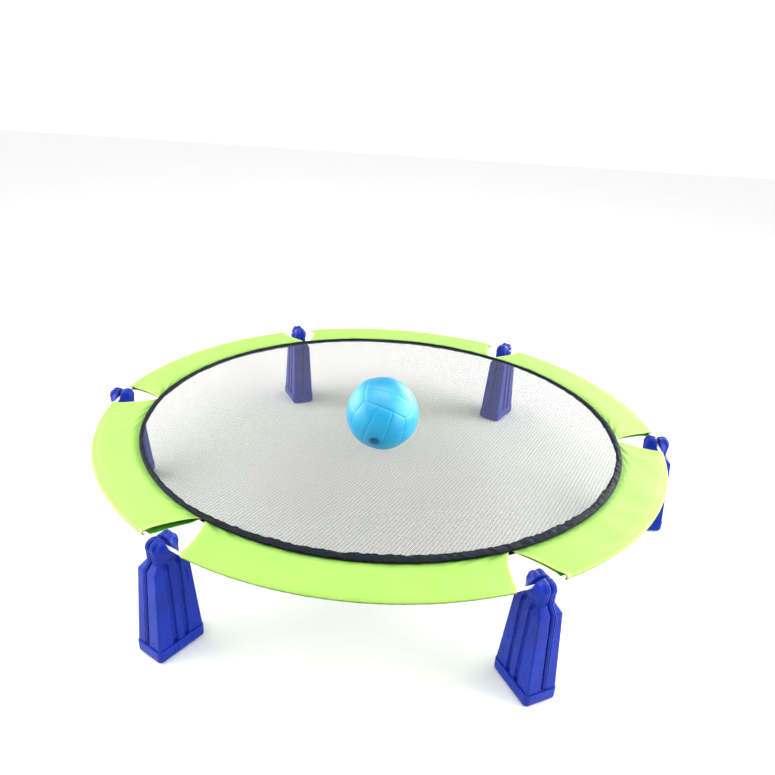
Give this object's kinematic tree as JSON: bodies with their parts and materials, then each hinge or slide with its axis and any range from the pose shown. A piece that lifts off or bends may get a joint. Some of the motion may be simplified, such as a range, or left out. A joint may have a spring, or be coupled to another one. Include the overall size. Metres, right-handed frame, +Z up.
{
  "type": "roundnet set",
  "caption": "Round lawn game net on a wire hoop with lime cloth sleeves, standing on clip-on blue plastic holders, with a light blue inflatable ball resting on the net.",
  "frame": {"origin": "on the ground, under the middle of the hoop", "axes": "+Z up; +X from the middle of the hoop towards holder 1"},
  "size_m": [0.965, 0.9, 0.2572],
  "materials": {
    "wire": "white coated spring wire",
    "ferrule": "plain drawn tube, crimped",
    "sleeve_cloth": "lime polyester cloth, fine plain weave",
    "binding": "navy folded tape, stitched",
    "net": "fine grey open mesh",
    "holder_plastic": "royal blue moulded plastic, satin",
    "ball_vinyl": "light blue soft vinyl, satin",
    "valve_vinyl": "soft vinyl plug, darker blue"
  },
  "bodies": {
    "hoop": {"hoop_wire": "wire", "hoop_ferrule": "ferrule", "net_binding": "binding", "net_mesh": "net", "sleeve_1": "sleeve_cloth", "sleeve_2": "sleeve_cloth", "sleeve_3": "sleeve_cloth", "sleeve_4": "sleeve_cloth", "sleeve_5": "sleeve_cloth", "sleeve_6": "sleeve_cloth"},
    "holder_1": {"holder_1_left_shell": "holder_plastic", "holder_1_right_shell": "holder_plastic", "holder_1_foot": "holder_plastic"},
    "holder_2": {"holder_2_left_shell": "holder_plastic", "holder_2_right_shell": "holder_plastic", "holder_2_foot": "holder_plastic"},
    "holder_3": {"holder_3_left_shell": "holder_plastic", "holder_3_right_shell": "holder_plastic", "holder_3_foot": "holder_plastic"},
    "holder_4": {"holder_4_left_shell": "holder_plastic", "holder_4_right_shell": "holder_plastic", "holder_4_foot": "holder_plastic"},
    "holder_5": {"holder_5_left_shell": "holder_plastic", "holder_5_right_shell": "holder_plastic", "holder_5_foot": "holder_plastic"},
    "holder_6": {"holder_6_left_shell": "holder_plastic", "holder_6_right_shell": "holder_plastic", "holder_6_foot": "holder_plastic"},
    "ball": {"ball_shell": "ball_vinyl", "ball_valve": "valve_vinyl"}
  },
  "joints": [
    {"name": "holder_1_pull_off", "type": "slide", "parent": "hoop", "child": "holder_1", "axis": [0, 0, -1], "range_m": [0, 0.06]},
    {"name": "holder_2_pull_off", "type": "slide", "parent": "hoop", "child": "holder_2", "axis": [0, 0, -1], "range_m": [0, 0.06]},
    {"name": "holder_3_pull_off", "type": "slide", "parent": "hoop", "child": "holder_3", "axis": [0, 0, -1], "range_m": [0, 0.06]},
    {"name": "holder_4_pull_off", "type": "slide", "parent": "hoop", "child": "holder_4", "axis": [0, 0, -1], "range_m": [0, 0.06]},
    {"name": "holder_5_pull_off", "type": "slide", "parent": "hoop", "child": "holder_5", "axis": [0, 0, -1], "range_m": [0, 0.06]},
    {"name": "holder_6_pull_off", "type": "slide", "parent": "hoop", "child": "holder_6", "axis": [0, 0, -1], "range_m": [0, 0.06]},
    {"name": "ball_bounce", "type": "slide", "parent": "hoop", "child": "ball", "axis": [0, 0, 1], "range_m": [0, 0.3]}
  ]
}
